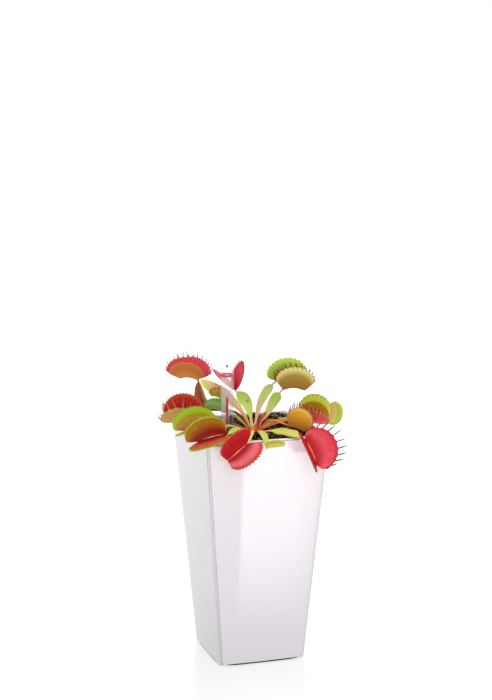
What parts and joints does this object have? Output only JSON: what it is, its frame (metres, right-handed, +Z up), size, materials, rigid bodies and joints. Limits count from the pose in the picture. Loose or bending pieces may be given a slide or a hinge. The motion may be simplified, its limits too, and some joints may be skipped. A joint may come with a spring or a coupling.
{
  "type": "potted venus flytrap",
  "caption": "Venus flytrap rosette with open and closed snap traps, in a tall tapered square planter with a liner, soil and a water level indicator.",
  "frame": {"origin": "middle of the planter's foot, on the surface it stands on", "axes": "+Z up, the planter's front faces -Y, +X to the right seen from the front"},
  "size_m": [0.1464, 0.1384, 0.2401],
  "materials": {
    "planter": "white high-gloss moulded plastic",
    "liner": "pale grey matt moulded plastic",
    "soil": "coarse dark bark and peat chips, matt",
    "clear_plastic": "clear moulded plastic, slightly hazed",
    "indicator_red": "red moulded plastic",
    "float_red": "red moulded plastic",
    "knob_grey": "dark grey moulded plastic",
    "crown": "fleshy rhizome, orange brown",
    "leaf_green": "living leaf, satin, green",
    "leaf_yellow": "living leaf, satin, yellow green",
    "leaf_bronze": "living leaf, satin, bronze",
    "trap_orange": "living trap, satin, orange brown outside and red inside",
    "trap_crimson": "living trap, satin, crimson",
    "trap_lime": "living trap, satin, lime green",
    "trap_olive": "living trap, satin, olive with a pale rim",
    "trap_yellow": "living trap, satin, yellow orange",
    "trap_green": "living trap, satin, green"
  },
  "bodies": {
    "pot": {"planter": "planter", "liner": "liner", "soil": "soil", "indicator_tube": "clear_plastic", "indicator_ring": "indicator_red", "indicator_cap": "clear_plastic", "indicator_knob": "knob_grey", "crown": "crown", "petiole_01": "leaf_bronze", "petiole_02": "leaf_green", "petiole_03": "leaf_green", "petiole_04": "leaf_green", "petiole_05": "leaf_bronze", "petiole_06": "leaf_yellow", "petiole_07": "leaf_green", "petiole_08": "leaf_yellow", "petiole_09": "leaf_yellow", "petiole_10": "leaf_bronze", "petiole_11": "leaf_bronze", "petiole_12": "leaf_green", "petiole_13": "leaf_yellow", "petiole_14": "leaf_yellow", "petiole_15": "leaf_green", "petiole_16": "leaf_yellow", "petiole_17": "leaf_bronze", "trap_01": "trap_orange", "trap_02": "trap_crimson", "trap_03": "trap_lime", "trap_04": "trap_olive", "trap_05": "trap_crimson", "trap_06": "trap_lime", "trap_07": "trap_orange", "trap_08": "trap_crimson", "trap_09": "trap_lime", "trap_10": "trap_yellow", "trap_11": "trap_crimson", "trap_12": "trap_lime", "trap_13": "trap_crimson", "trap_14": "trap_orange", "trap_15": "trap_green"},
    "float": {"indicator_float": "float_red"}
  },
  "joints": [
    {"name": "float_slide", "type": "slide", "parent": "pot", "child": "float", "axis": [0, 0, 1], "range_m": [0, 0.02]}
  ]
}
